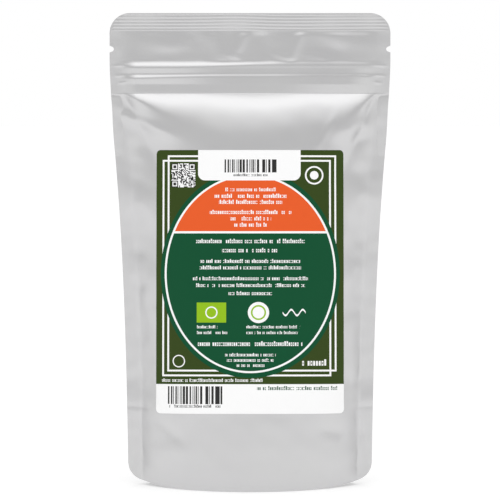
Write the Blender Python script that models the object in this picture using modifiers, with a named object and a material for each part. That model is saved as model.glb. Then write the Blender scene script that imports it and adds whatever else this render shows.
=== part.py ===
"""A stand-up zip pouch of foil laminate, filled with cut dried chives, standing on its opened base.

Axes: X runs across the pouch, Y through its depth and Z up. The labelled side faces -Y, and the origin is on
the floor under the middle of the base. Units are metres.

Film coordinates: s runs across a film from its middle and t runs up it from its bottom edge, both measured
along the film. A horizontal cut through a panel is a circular arc as long as the film between the side seals,
with the flat seals beyond it, so the pouch narrows where it bulges.
"""

import math

import bmesh
import bpy
import numpy as np

MM = 0.001

# The pouch, flat.
FILM_WIDTH = 160 * MM
FILM_HEIGHT = 275 * MM
FILM = 0.2 * MM
GAP = 0.3 * MM
SIDE_SEAL = 8 * MM
CORNER_RADIUS = 11.5 * MM
CORNER_BAND = 18 * MM
TOP_SEAL = 10 * MM
NOTCH_DOWN = 20.5 * MM
NOTCH_RADIUS = 1.7 * MM
NOTCH_DEPTH = 2.4 * MM
NOTCH_BAND = 4 * MM

# The base film is folded in two, and its leaves are sealed to the panels below a curved line.
GUSSET_DEPTH = 45 * MM
SKIRT_MIDDLE = 6 * MM
BASE_FLAT_HALF = 26 * MM
BASE_RISE_END = 69 * MM
BASE_FLAT_SHARE = 0.5
BASE_FOLD_FROM, BASE_FOLD_FULL = 16 * MM, 52 * MM
BASE_ROWS = 17
LEAF_ROWS = 6

# How far the filled pouch opens: the half angle of a panel's arc, from the zip's lower edge down.
ARC_QUICK, ARC_QUICK_FALL = 0.24, 18 * MM
ARC_SLOW, ARC_SLOW_FALL = 0.74, 80 * MM
ARC_LEAST = 1e-4
STEEPEST = 0.95
PINCH = 0.011
PINCH_MIDDLE, PINCH_REACH = 222 * MM, 26 * MM
CORNER_LIFT = 2 * MM
CORNER_LIFT_FROM = 45 * MM
CORNER_LIFT_FADE = 70 * MM

# The zip, measured down from the pouch's top edge.
ZIP_TOP, ZIP_BOTTOM = 29 * MM, 46.4 * MM
ZIP_LIFT = 2.2 * MM
ZIP_LIFT_START = 3.5 * MM
ZIP_LIFT_FADE = 22 * MM
ZIP_HALF_LENGTH = 66 * MM
ZIP_TAPE_HEIGHT = 13 * MM
ZIP_TAPE = 0.25 * MM
ZIP_TAPE_OFFSET = 1.8 * MM
ZIP_TAPE_ABOVE_RIB = 0.4
ZIP_RIB_DOWN = 35.6 * MM
HEADER_PUFF = 0.7 * MM
HEADER_PUFF_FULL = 19 * MM
HEADER_BOW = 0.8 * MM
HEADER_BOW_DOWN = 45 * MM
PLATEAU_END = 3.5 * MM

# Where the two panels' seals lie, away from the pouch's middle plane.
SEAL_OFFSET = 0.25 * MM
GUSSET_SEAL_OFFSET = 1.0 * MM
GUSSET_SEAL_FADE = 17 * MM

LABEL_WIDTH = 110 * MM
LABEL_HEIGHT = 149 * MM
LABEL_BOTTOM = 44.2 * MM
LABEL_CORNER = 2.5 * MM
LABEL = 0.15 * MM
LABEL_GAP = 0.3 * MM
LABEL_ENDS = [0, 0.8, 1.7, 2.5]
LABEL_COLUMNS, LABEL_ROWS = 6, 15

FILL_TOP = 190 * MM
FILL_HEAP = 14 * MM
FILL_CLEARANCE = 2.4 * MM
FILL_HALF_WIDTH = 54 * MM
FILL_CUTS = 13
FILL_SHARP_ANGLE = math.radians(40)

# How finely curves are sampled where a place is looked up on them.
HEIGHT_SAMPLES = 1101
WEB_SAMPLES = 73

HALF_WIDTH = FILM_WIDTH / 2
ARC_HALF = HALF_WIDTH - SIDE_SEAL
ZIP_EDGE = FILM_HEIGHT - ZIP_BOTTOM
# Film places across and up, in millimetres, where the films' cells meet.
COLUMNS_INSIDE = [0, 8, 16, 24, 32, 40, 48, 56, 64]
COLUMNS_EDGE = [68, 72, 74.5, 77, 79, 80]
ROWS_LOW = [0, 2.5, 5, 10, 16]
ROWS_DOWN_FROM_TOP = [52, 47.5, 46, 42, 36, 30, 28, 25.5]
ROWS_TOP_SEAL = [15, 10, 8, 4, 1.5, 0]
NOTCH_LEVELS = [-1, -0.7, 0, 0.7, 1]
BODY_ROWS = 17


def smooth(value, low, high):
    """0 below low, 1 above high, and an S curve between."""
    part = np.clip((value - low) / (high - low), 0, 1)
    return part * part * (3 - 2 * part)


def arc_angle(t):
    """Half angle of the panel's arc at height t: none at the zip, and growing down to the base."""
    below = np.maximum(ZIP_EDGE - t, 0)
    quick = ARC_QUICK * (1 - np.exp(-below / ARC_QUICK_FALL))
    slow = ARC_SLOW * (1 - np.exp(-below / ARC_SLOW_FALL))
    return np.maximum(quick + slow, ARC_LEAST)


def plateau(s):
    """1 over the zip's length, falling to 0 where the side seals crush it."""
    return 1 - smooth(np.abs(s), ARC_HALF - PLATEAU_END, ARC_HALF)


def zip_lift(t):
    """How far the zip holds each panel off the middle plane, and how little the header stands open."""
    down = FILM_HEIGHT - t
    header = HEADER_PUFF * smooth(down, TOP_SEAL, HEADER_PUFF_FULL)
    over_zip = (ZIP_LIFT - HEADER_PUFF) * smooth(down, ZIP_TOP - ZIP_LIFT_START, ZIP_TOP)
    return (header + over_zip) * (1 - smooth(down, ZIP_BOTTOM, ZIP_BOTTOM + ZIP_LIFT_FADE))


def pinch(t):
    """Share of its width that the film keeps. Small puckers below the zip draw it in a little."""
    return 1 - PINCH * (1 - smooth(np.abs(t - PINCH_MIDDLE), 0, PINCH_REACH))


def seal_offset(t):
    """The seals lie closer together above the base film's four layers."""
    fade = 1 - smooth(t, GUSSET_DEPTH, GUSSET_DEPTH + GUSSET_SEAL_FADE)
    return SEAL_OFFSET + (GUSSET_SEAL_OFFSET - SEAL_OFFSET) * fade


def middle_depth(t):
    """Distance of the panel's middle line from the middle plane."""
    angle = arc_angle(t)
    return seal_offset(t) + ARC_HALF * (1 - np.cos(angle)) / angle + zip_lift(t)


def height_table():
    """Heights above the floor for film heights t, so that the panel's middle line keeps its length."""
    t = np.linspace(0, FILM_HEIGHT, HEIGHT_SAMPLES)
    slope = np.gradient(middle_depth(t), t)
    rise = np.sqrt(1 - np.clip(slope, -STEEPEST, STEEPEST) ** 2)
    z = np.concatenate([[0], np.cumsum((rise[1:] + rise[:-1]) / 2 * np.diff(t))])
    return t, z


TABLE_T, TABLE_Z = height_table()


def height(s, t):
    """Height above the floor. The bottom corners stand a little clear of it."""
    lift = CORNER_LIFT * np.clip((np.abs(s) - CORNER_LIFT_FROM) / (HALF_WIDTH - CORNER_LIFT_FROM), 0, 1) ** 2
    return np.interp(t, TABLE_T, TABLE_Z) + lift * (1 - smooth(t, 0, CORNER_LIFT_FADE))


def header_bow(s, t):
    """How far the header's corners bend back together, towards +Y. It grows with the square of s and of t."""
    up = np.maximum(t - (FILM_HEIGHT - HEADER_BOW_DOWN), 0) / HEADER_BOW_DOWN
    return HEADER_BOW * (s / HALF_WIDTH) ** 2 * up**2


def panel_point(s, t, side, outset=0.0):
    """The point of a panel at film place (s, t), moved out of the pouch by outset. The labelled side is -1.

    The arc of half angle a and radius ARC_HALF / a is followed to the seal, and then the flat seal. The
    normal turns with the arc. On the seal's inner edge it is the mitre between the arc's end and the seal.
    """
    angle = arc_angle(t)
    radius = ARC_HALF / angle
    inside = np.clip(s, -ARC_HALF, ARC_HALF)
    turn = inside / radius
    x = radius * np.sin(turn) + (s - inside)
    depth = seal_offset(t) + radius * (np.cos(turn) - np.cos(angle)) + zip_lift(t) * plateau(s)
    on_edge = np.isclose(np.abs(s), ARC_HALF, atol=1e-6)
    lean = np.where(np.abs(s) > ARC_HALF, 0, turn)
    lean = np.where(on_edge, turn / 2, lean)
    reach = outset / np.where(on_edge, np.cos(turn / 2), 1)
    x = x * pinch(t) + reach * np.sin(lean)
    depth = depth + reach * np.cos(lean)
    return np.stack([x, side * depth + header_bow(s, t), height(s, t)], axis=-1)


def corner_cut(s, half_width, radius):
    """How much of the film's edge a rounded corner takes away at s."""
    past = np.clip(np.abs(s) - (half_width - radius), 0, radius)
    return radius - np.sqrt(radius**2 - past**2)


def skirt_height(s):
    """Film height of the curved line below which the base film is sealed to the panel."""
    across = np.clip(np.abs(s) / ARC_HALF, 0, 1)
    return GUSSET_DEPTH - (GUSSET_DEPTH - SKIRT_MIDDLE) * np.sqrt(1 - across**2)


def columns():
    """Film places across, mirrored, with one on each side seal's inner edge."""
    right = np.array(COLUMNS_INSIDE + COLUMNS_EDGE) * MM
    return np.concatenate([-right[:0:-1], right])


def grid_object(name, places, collection, material):
    """A grid primitive whose points are moved to places, an array of rows by columns by 3."""
    rows, across = places.shape[:2]
    cage = bmesh.new()
    bmesh.ops.create_grid(cage, x_segments=across - 1, y_segments=rows - 1, size=1)
    cage.verts.ensure_lookup_table()
    for vertex, place in zip(cage.verts, places.reshape(-1, 3)):
        vertex.co = place
    mesh = bpy.data.meshes.new(name)
    cage.to_mesh(mesh)
    cage.free()
    made = bpy.data.objects.new(name, mesh)
    collection.objects.link(made)
    mesh.materials.append(material)
    mesh.shade_smooth()
    return made


def thicken(sheet, thickness):
    """Turns a sheet into a shell of that thickness, with half of it on each side."""
    shell = sheet.modifiers.new("film", "SOLIDIFY")
    shell.thickness = thickness
    shell.offset = 0
    shell.use_quality_normals = True


def finish(name, colour, roughness, metallic):
    """A Principled material."""
    made = bpy.data.materials.new(name)
    made.use_nodes = True
    shader = made.node_tree.nodes["Principled BSDF"]
    shader.inputs["Base Color"].default_value = (*colour, 1)
    shader.inputs["Roughness"].default_value = roughness
    shader.inputs["Metallic"].default_value = metallic
    return made


def panel_rows():
    """Film heights of a panel's rows: close together at the base, the zip, the notches and the top."""
    low = np.array(ROWS_LOW) * MM
    zip_rows = FILM_HEIGHT - np.array(ROWS_DOWN_FROM_TOP) * MM
    body = np.linspace(low[-1], zip_rows[0], BODY_ROWS + 2)[1:-1]
    notch = FILM_HEIGHT - NOTCH_DOWN + NOTCH_RADIUS * np.array(NOTCH_LEVELS)
    top = FILM_HEIGHT - np.array(ROWS_TOP_SEAL) * MM
    return np.concatenate([low, body, zip_rows, notch, top])


def panel(name, side, collection, material):
    """One of the two big films, with rounded corners and a tear notch in each side edge."""
    rows, across = np.meshgrid(panel_rows(), columns(), indexing="ij")
    cut = corner_cut(across, HALF_WIDTH, CORNER_RADIUS)
    near_bottom = np.clip(1 - rows / CORNER_BAND, 0, 1)
    near_top = np.clip(1 - (FILM_HEIGHT - rows) / CORNER_BAND, 0, 1)
    t = rows + cut * (near_bottom - near_top)
    level = np.abs(rows - (FILM_HEIGHT - NOTCH_DOWN)) / NOTCH_RADIUS
    notch = NOTCH_DEPTH * np.sqrt(np.clip(1 - level**2, 0, 1))
    edge = smooth(np.abs(across), HALF_WIDTH - NOTCH_BAND, HALF_WIDTH)
    s = across - np.sign(across) * notch * edge
    made = grid_object(name, panel_point(s, t, side), collection, material)
    thicken(made, FILM)
    return made


def base_film(collection, material):
    """The folded base film, opened: a leaf sealed inside each panel and the web that carries the fill.

    Each column runs up the labelled side's leaf, across the web and down the other leaf. The web rests on the
    floor in the middle, and rises to its fold at the side seals.
    """
    s = columns()
    low = corner_cut(s, HALF_WIDTH, CORNER_RADIUS)
    seam = np.maximum(skirt_height(s), low)
    inset = -(FILM + GAP)
    leaf_shares = np.linspace(0, 1, LEAF_ROWS)
    leaves = {
        side: [panel_point(s, low + share * (seam - low), side, inset) for share in leaf_shares]
        for side in (-1, 1)
    }
    front, back = leaves[-1][-1], leaves[1][-1]
    web = [web_between(front, back, s, place) for place in np.linspace(-1, 1, BASE_ROWS)[1:-1]]
    places = np.stack(leaves[-1] + web + leaves[1][::-1])
    made = grid_object("base_gusset", places, collection, material)
    thicken(made, FILM)
    return made


def web_height(s, across, edge):
    """Height of the web's middle surface. across is -1 at the labelled side's seal and 1 at the other's.

    The fold line's height rises from the floor near the middle to the gusset's depth at the seals. Across the
    pouch the web lies flat and then climbs to the seals in the middle, and is a plain fold near the sides.
    """
    fold = FILM / 2 + (GUSSET_DEPTH - FILM / 2) * smooth(np.abs(s), BASE_FLAT_HALF, BASE_RISE_END)
    trough = smooth(np.abs(across), BASE_FLAT_SHARE, 1)
    share = trough + (np.abs(across) - trough) * smooth(np.abs(s), BASE_FOLD_FROM, BASE_FOLD_FULL)
    return fold + (edge - fold) * share


def web_between(front, back, s, across):
    """A line of the web, between the tops of the two leaves."""
    points = front + (back - front) * (across + 1) / 2
    points[:, 2] = web_height(s, across, front[:, 2])
    return points


def label(collection, material):
    """The adhesive label on the labelled panel, rounded at its corners."""
    half = LABEL_WIDTH / 2
    ends = half - np.array(LABEL_ENDS) * MM
    right = np.concatenate([np.linspace(0, ends[-1], LABEL_COLUMNS)[:-1], ends[::-1]])
    s = np.concatenate([-right[:0:-1], right])
    middle = np.linspace(LABEL_CORNER, LABEL_HEIGHT - LABEL_CORNER, LABEL_ROWS)
    up = np.concatenate([[0], middle, [LABEL_HEIGHT]])
    rows, across = np.meshgrid(up, s, indexing="ij")
    cut = corner_cut(across, half, LABEL_CORNER)
    t = LABEL_BOTTOM + cut + rows * (LABEL_HEIGHT - 2 * cut) / LABEL_HEIGHT
    outset = (FILM + LABEL) / 2 + LABEL_GAP
    made = grid_object("label", panel_point(across, t, -1, outset), collection, material)
    thicken(made, LABEL)
    return made


def extruded(name, outline, half_length, collection, material):
    """A closed outline of (y, z) points drawn out along X to both sides by half_length."""
    curve = bpy.data.curves.new(name, "CURVE")
    curve.dimensions = "2D"
    curve.fill_mode = "BOTH"
    curve.extrude = half_length
    spline = curve.splines.new("POLY")
    spline.points.add(len(outline) - 1)
    for point, (y, z) in zip(spline.points, outline):
        point.co = (y, z, 0, 1)
    spline.use_cyclic_u = True
    made = bpy.data.objects.new(name, curve)
    made.rotation_euler = (math.pi / 2, 0, math.pi / 2)
    collection.objects.link(made)
    curve.materials.append(material)
    return made


def zip_height():
    """Height of the zip's rib above the floor."""
    return float(np.interp(FILM_HEIGHT - ZIP_RIB_DOWN, TABLE_T, TABLE_Z))


def tape_outline(bead):
    """A tape's outline with a bead on its inner face. The tape hangs mostly below the bead."""
    outer, inner = ZIP_TAPE_OFFSET, ZIP_TAPE_OFFSET - ZIP_TAPE
    top = ZIP_TAPE_HEIGHT * ZIP_TAPE_ABOVE_RIB
    bottom = top - ZIP_TAPE_HEIGHT
    return [(-outer, bottom), (-inner, bottom), *bead, (-inner, top), (-outer, top)]


def rib_outline():
    """The tape with one arrow-headed rib."""
    inner = ZIP_TAPE_OFFSET - ZIP_TAPE
    stem, head = 0.25 * MM, 0.6 * MM
    neck, tip = -0.35 * MM, 0.55 * MM
    upper = [(neck, head), (neck, stem), (-inner, stem)]
    lower = [(y, -z) for y, z in reversed(upper)]
    return tape_outline([*lower, (tip, 0), *upper])


def channel_outline():
    """The tape with two hooked jaws, which close behind the arrow's head."""
    inner = ZIP_TAPE_OFFSET - ZIP_TAPE
    outside, inside, hook = 1.25 * MM, 0.8 * MM, 0.42 * MM
    mouth, catch = 0.95 * MM, 0.58 * MM
    face = [(-inner, outside), (mouth, outside), (mouth, hook)]
    catch_side = [(catch, hook), (catch, inside), (-inner, inside)]
    jaw = face + catch_side
    lower = [(y, -z) for y, z in jaw]
    return tape_outline(lower + jaw[::-1])


def zip_strip(name, outline, side, collection, material):
    """One half of the zip, between the side seals."""
    made = extruded(name, outline, ZIP_HALF_LENGTH, collection, material)
    made.location = (0, 0, zip_height())
    if side > 0:
        made.rotation_euler = (math.pi / 2, 0, -math.pi / 2)
    return made


def web_lookup():
    """Film places across the web, and the point of the panel's seam where each one's column starts."""
    s = np.linspace(0, ARC_HALF, WEB_SAMPLES)
    edge = panel_point(s, skirt_height(s), 1, -(FILM + GAP))
    return s, edge


def fill_points(share):
    """Moves the points of a cube from -1 to 1 into the space between the films.

    X is stretched to the fill's half width. At each X and height the pouch is as deep as its two arcs are
    apart, and Y is stretched to that less the clearance. Z runs from just above the web to the heaped top.
    """
    x = FILL_HALF_WIDTH * share[:, 0]
    s, edge = web_lookup()
    place = np.interp(np.abs(x), edge[:, 0], s)
    seam_depth = np.interp(place, s, edge[:, 1])
    seam_height = np.interp(place, s, edge[:, 2])
    across = share[:, 1] * (1 - FILL_CLEARANCE / seam_depth)
    floor = web_height(place, across, seam_height) + FILL_CLEARANCE
    heap = FILL_TOP - FILL_HEAP * ((x / FILL_HALF_WIDTH) ** 2 + share[:, 1] ** 2) / 2
    z = floor + (heap - floor) * (share[:, 2] + 1) / 2
    t = np.interp(z, TABLE_Z, TABLE_T)
    angle = arc_angle(t)
    radius = ARC_HALF / angle
    depth = seal_offset(t) + radius * (np.sqrt(1 - (x / radius) ** 2) - np.cos(angle))
    beside_leaf = z < seam_height + FILL_CLEARANCE
    half = np.where(beside_leaf, np.minimum(depth, seam_depth), depth) - FILL_CLEARANCE
    return np.stack([x, half * share[:, 1], z], axis=-1)


def chive_fill(collection, material):
    """The loose fill as one body: a cube primitive, cut fine and stretched into the space between the films."""
    block = bmesh.new()
    bmesh.ops.create_cube(block, size=2)
    bmesh.ops.subdivide_edges(block, edges=block.edges, cuts=FILL_CUTS, use_grid_fill=True)
    places = fill_points(np.array([vertex.co for vertex in block.verts]))
    for vertex, place in zip(block.verts, places):
        vertex.co = place
    mesh = bpy.data.meshes.new("chive_fill")
    block.to_mesh(mesh)
    block.free()
    made = bpy.data.objects.new("chive_fill", mesh)
    collection.objects.link(made)
    mesh.materials.append(material)
    mesh.shade_smooth()
    mesh.set_sharp_from_angle(angle=FILL_SHARP_ANGLE)
    return made


def main():
    for old in list(bpy.data.objects):
        bpy.data.objects.remove(old)
    pouch = bpy.data.collections.new("stand_up_pouch")
    bpy.context.scene.collection.children.link(pouch)
    foil = finish("foil_laminate", (0.74, 0.74, 0.75), 0.38, 1.0)
    zip_plastic = finish("zip_plastic", (0.86, 0.87, 0.88), 0.35, 0.0)
    paper = finish("printed_label", (0.06, 0.16, 0.08), 0.45, 0.0)
    chives = finish("dried_chives", (0.17, 0.27, 0.08), 0.85, 0.0)
    panel("label_panel", -1, pouch, foil)
    panel("plain_panel", 1, pouch, foil)
    base_film(pouch, foil)
    zip_strip("zip_rib_strip", rib_outline(), -1, pouch, zip_plastic)
    zip_strip("zip_channel_strip", channel_outline(), 1, pouch, zip_plastic)
    label(pouch, paper)
    chive_fill(pouch, chives)


main()
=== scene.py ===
"""Looks of a filled stand-up zip pouch: satin foil laminate, a printed label and a press-to-close zip.

Film coordinates: s runs across a film from its middle and t runs up it from its bottom edge, both in
metres along the film, and "down" is measured along it from the top edge. Lengths in a table are in
millimetres where its name ends in _MM. The labelled side faces -Y.
"""

import math

import bpy
import numpy as np
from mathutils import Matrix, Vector


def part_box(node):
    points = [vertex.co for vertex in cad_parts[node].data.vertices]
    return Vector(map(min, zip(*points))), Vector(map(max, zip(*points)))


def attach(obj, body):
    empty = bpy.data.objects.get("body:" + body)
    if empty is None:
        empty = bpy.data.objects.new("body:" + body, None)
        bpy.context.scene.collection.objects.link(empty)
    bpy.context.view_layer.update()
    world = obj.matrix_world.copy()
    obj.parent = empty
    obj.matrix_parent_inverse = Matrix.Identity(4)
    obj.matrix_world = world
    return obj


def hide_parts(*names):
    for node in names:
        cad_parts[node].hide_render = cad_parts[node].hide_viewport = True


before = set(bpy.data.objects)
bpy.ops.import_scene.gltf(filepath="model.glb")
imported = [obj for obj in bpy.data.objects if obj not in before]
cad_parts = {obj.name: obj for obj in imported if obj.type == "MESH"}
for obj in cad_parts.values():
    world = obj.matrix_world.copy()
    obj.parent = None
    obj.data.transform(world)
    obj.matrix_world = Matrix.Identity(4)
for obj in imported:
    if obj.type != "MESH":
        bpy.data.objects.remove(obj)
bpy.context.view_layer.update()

bl_info = {
    "name": "Stand-up Zip Pouch",
    "version": (1, 0, 0),
    "blender": (4, 5, 0),
    "location": "View3D > Sidebar > Pouch",
    "description": "Builds the films, zip, label and fill of a stand-up zip pouch, and its stage",
    "category": "Add Mesh",
}

MM = 0.001
PANEL_LOW, PANEL_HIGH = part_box("label_panel")
LABEL_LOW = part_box("label")[0]
FRONT, BACK = -1, 1

# Rows up and columns across a film: where each stretch of cells starts and ends, and the size of a cell.
PANEL_ROWS_MM = [
    (0, 12, 0.8), (12, 196, 1.3), (196, 224, 0.9), (224, 248, 0.36), (248, 252.6, 0.8),
    (252.6, 256.4, 0.3), (256.4, 264.4, 0.8), (264.4, 275, 0.27),
]
PANEL_COLUMNS_MM = [(0, 63, 1.5), (63, 76, 0.75), (76, 80, 0.5)]
BASE_COLUMNS_MM = [(0, 60, 1.5), (60, 76, 0.8), (76, 80, 1)]
# How far from a film's edges its rows make room for the corners, and its columns for the notches.
CORNER_BAND = 18 * MM
NOTCH_BAND = 4 * MM

# Soft ridges and dents in the labelled side: from (s, t) to (s, t), width, and height out of the film.
FRONT_DENTS_MM = [
    (-72, 213, -50, 204, 2.3, 0.95), (-66, 220, -44, 210, 4.0, -0.30), (-66, 199, -50, 190, 5.0, -0.45),
    (47, 212, 38, 195, 1.3, 0.42), (55, 202, 67, 209, 3.5, 0.90), (50, 195, 66, 199, 3.5, -0.45),
    (-72, 166, -56, 167, 10.0, 1.3), (72, 166, 56, 167, 10.0, 1.3),
    (-67, 164, -56, 153, 3.5, 0.50), (-70, 178, -58, 170, 3.0, -0.30), (64, 165, 57, 143, 3.5, 0.50),
    (60, 180, 70, 172, 3.0, -0.30), (-68, 122, -60, 118, 7.0, 0.8), (68, 124, 60, 120, 7.0, 0.7),
    (-66, 112, -60, 98, 4.0, 0.35), (-68, 90, -62, 70, 4.0, -0.35), (66, 112, 60, 98, 3.5, -0.30),
    (64, 92, 66, 62, 4.0, 0.40), (-64, 60, -60, 46, 3.0, -0.40), (62, 62, 60, 48, 3.0, -0.35),
    (-56, 37, -42, 29, 2.6, -0.35), (-52, 44, -40, 40, 3.5, 0.30),
    (44, 34, 56, 31, 3.0, -0.45), (-60, 18, -40, 22, 4.5, 0.35), (30, 22, 60, 14, 6.0, 0.25),
    (-74, 30, -77, 10, 1.2, -0.22), (74, 30, 77, 10, 1.2, -0.22),
]
BACK_DENTS_MM = [
    (-68, 210, -46, 198, 3.2, 0.90), (-72, 216, -46, 206, 4.0, -0.5), (66, 205, 50, 194, 3.5, 0.85),
    (70, 214, 50, 203, 4.0, -0.45), (-30, 156, -50, 116, 4.5, -0.75), (-42, 160, -58, 128, 4.0, 0.5),
    (22, 180, 42, 150, 4.0, 0.60), (30, 186, 50, 160, 4.5, -0.45), (-8, 92, 20, 74, 5.5, -0.75),
    (0, 100, 26, 84, 4.5, 0.45), (40, 72, 58, 52, 4.0, 0.60), (-62, 66, -50, 40, 3.5, 0.60),
    (-22, 42, 8, 30, 4.5, 0.50), (60, 152, 65, 118, 4.0, 0.55), (-64, 160, -60, 130, 4.0, 0.45),
    (-10, 140, 12, 132, 6.0, 0.35), (12, 60, 30, 40, 4.5, -0.45), (-74, 30, -77, 10, 1.2, -0.22),
]
# The same, in the header above the zip.
HEADER_DENTS_MM = [
    (-60, 260, -42, 256, 4.0, 0.50), (-22, 263, -16, 250, 3.0, 0.48), (-3, 263, -8, 253, 2.2, 0.80),
    (5, 264, 12, 250, 3.2, -0.40), (29, 264, 24, 250, 2.0, 0.80), (38, 259, 52, 252, 3.6, -0.35),
    (46, 262, 70, 257, 4.0, 0.40), (-52, 251, -34, 252, 3.0, -0.3), (-30, 259, -28, 250, 2.8, -0.35),
    (14, 252, 22, 249.5, 1.6, 0.35), (-14, 252, -6, 249.5, 1.4, 0.28), (34, 251.5, 44, 249.5, 1.6, 0.25),
    (32, 262, 74, 260, 7.0, 0.35),
]
# Little spikes where the zip runs into the side seals: the height of each and how far it reaches outwards.
ZIP_SPIKES_MM = [(245.3, 5.0), (239.6, 4.5), (235.5, 3.0), (228.4, 6.0)]
SPIKE_FROM_MM, SPIKE_DROP_MM, SPIKE_WIDTH_MM, SPIKE_RISE_MM = 71.5, 0.4, 0.5, 0.16


class PouchSizes(bpy.types.PropertyGroup):
    """The pouch's sizes. Those that other pieces must fit come from the frame."""

    film_width: bpy.props.FloatProperty(
        name="Film width", description="Width of the flat pouch", unit="LENGTH",
        default=PANEL_HIGH.x - PANEL_LOW.x)
    film_height: bpy.props.FloatProperty(
        name="Film height", description="Height of a big film, laid flat", unit="LENGTH", default=275 * MM)
    film: bpy.props.FloatProperty(
        name="Film thickness", description="Thickness of the laminate", unit="LENGTH", default=0.16 * MM)
    side_seal: bpy.props.FloatProperty(
        name="Side seal", description="Width of the flat side seals", unit="LENGTH", default=8 * MM)
    top_seal: bpy.props.FloatProperty(
        name="Top seal", description="Height of the ribbed top seal", unit="LENGTH", default=10 * MM)
    corner_radius: bpy.props.FloatProperty(
        name="Top corner radius", description="Radius of the film's top corners", unit="LENGTH",
        default=11.5 * MM)
    foot_radius: bpy.props.FloatProperty(
        name="Foot corner radius", description="Radius of the film's bottom corners", unit="LENGTH",
        default=9 * MM)
    rib_pitch: bpy.props.FloatProperty(
        name="Rib pitch", description="Distance between the top seal's ribs", unit="LENGTH",
        default=1.85 * MM)
    rib_height: bpy.props.FloatProperty(
        name="Rib height", description="Height of the top seal's ribs", unit="LENGTH", default=0.12 * MM)
    gusset_depth: bpy.props.FloatProperty(
        name="Gusset depth", description="Height of the base film's fold", unit="LENGTH", default=45 * MM)
    label_width: bpy.props.FloatProperty(
        name="Label width", description="Width of the flat label", unit="LENGTH", default=110 * MM)
    label_height: bpy.props.FloatProperty(
        name="Label height", description="Height of the flat label", unit="LENGTH", default=149 * MM)
    label_corner: bpy.props.FloatProperty(
        name="Label corner", description="Radius of the label's corners", unit="LENGTH", default=2.4 * MM)
    wrinkles: bpy.props.FloatProperty(
        name="Wrinkles", description="How strong the film's dents are", subtype="FACTOR",
        default=1.0, min=0, max=2)


def colour(name, description, value):
    """A colour property."""
    return bpy.props.FloatVectorProperty(
        name=name, description=description, subtype="COLOR", size=3, min=0, max=1, default=value)


class PouchColours(bpy.types.PropertyGroup):
    """The pouch's colours, as linear values."""

    foil: colour("Foil", "The laminate's silver", (0.588, 0.584, 0.594))
    foil_warm: colour("Foil, light", "The laminate's lighter cloudings", (0.622, 0.622, 0.621))
    zip_plastic: colour("Zip plastic", "The milky zip profile", (0.80, 0.82, 0.84))
    zip_pale: colour("Zip plastic, light", "The zip profile's lighter lines", (0.9, 0.91, 0.92))
    paper: colour("Label paper", "The label's unprinted white", (0.985, 0.985, 0.985))
    paper_shade: colour("Label paper, dark", "What the label's fibres darken towards", (0.6, 0.6, 0.6))
    ink: colour("Ink", "The dark of the bar code", (0.03, 0.03, 0.03))
    olive: colour("Olive", "The label's outer field", (0.037, 0.064, 0.010))
    green: colour("Dark green", "The oval's lower part", (0.0030, 0.0800, 0.0300))
    orange: colour("Orange", "The oval's upper part", (0.831, 0.117, 0.0242))
    lime: colour("Light green", "The little box in the oval", (0.301, 0.533, 0.0137))
    chives: colour("Dried chives", "The fill's green", (0.10, 0.19, 0.035))
    floor: colour("Floor", "The pale floor", (0.61, 0.61, 0.61))
    floor_shade: colour("Floor, dark", "The floor's darker cloudings", (0.57, 0.57, 0.57))


def sizes():
    """The scene's pouch sizes."""
    return bpy.context.scene.pouch_sizes


def colours():
    """The scene's pouch colours."""
    return bpy.context.scene.pouch_colours


# Shapes


def smooth(value, low, high):
    """0 below low, 1 above high, and the S curve 3p² - 2p³ between."""
    part = np.clip((value - low) / (high - low), 0, 1)
    return part * part * (3 - 2 * part)


def bell(value, middle, width):
    """A bell curve of height 1: e to the minus half the square of (value - middle) / width."""
    return np.exp(-0.5 * ((value - middle) / width) ** 2)


def rounded(past):
    """1 below 0, 0 above 1, and a quarter circle between: sqrt(1 - past²)."""
    return np.sqrt(np.clip(1 - np.clip(past, 0, 1) ** 2, 0, 1))


# A film's cross-section: the half angles that its arc gains in two steps, and how far down each grows.
ARC_QUICK, ARC_QUICK_FALL = 0.24, 18 * MM
ARC_SLOW, ARC_SLOW_FALL = 0.74, 80 * MM
ARC_LEAST = 1e-4
# The outline's pinch: its share of the width, its height and how far it reaches.
PINCH, PINCH_MIDDLE, PINCH_REACH = 0.011, 222 * MM, 26 * MM
CORNER_LIFT, CORNER_LIFT_FROM, CORNER_LIFT_FADE = 3.6 * MM, 32 * MM, 70 * MM
# How far the zip and the header hold a film off the middle plane, and where down the film.
ZIP_BOTTOM_DOWN = 45.8 * MM
ZIP_LIFT, ZIP_LIFT_START, ZIP_LIFT_END, ZIP_LIFT_FADE = 2.2 * MM, 27 * MM, 30.4 * MM, 60 * MM
HEADER_OPEN, HEADER_OPEN_FULL, HEADER_OPEN_POWER = 1.7 * MM, 28 * MM, 1.2
HEADER_BOW, HEADER_BOW_DOWN = 0.8 * MM, 45 * MM
PLATEAU_FROM, PLATEAU_END = 65 * MM, 77 * MM
# The side seals' distance from the middle plane, alone and with the base film between them.
SEAL_OFFSET, GUSSET_SEAL_OFFSET, GUSSET_SEAL_FADE = 0.1 * MM, 0.9 * MM, 17 * MM
SEAL_ROUND = 1.0 * MM
NOTCH_DOWN, NOTCH_RADIUS, NOTCH_DEPTH = 20.5 * MM, 1.7 * MM, 2.4 * MM
HEIGHT_STEPS, STEEPEST = 1101, 0.95


def arc_half():
    """Film place of a side seal's inner edge."""
    return sizes().film_width / 2 - sizes().side_seal


def arc_angle(t):
    """Half angle of the panel's arc at height t: none at the zip, and two exponential steps below it."""
    below = np.maximum(sizes().film_height - ZIP_BOTTOM_DOWN - t, 0)
    quick = ARC_QUICK * (1 - np.exp(-below / ARC_QUICK_FALL))
    slow = ARC_SLOW * (1 - np.exp(-below / ARC_SLOW_FALL))
    return np.maximum(quick + slow, ARC_LEAST)


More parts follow.
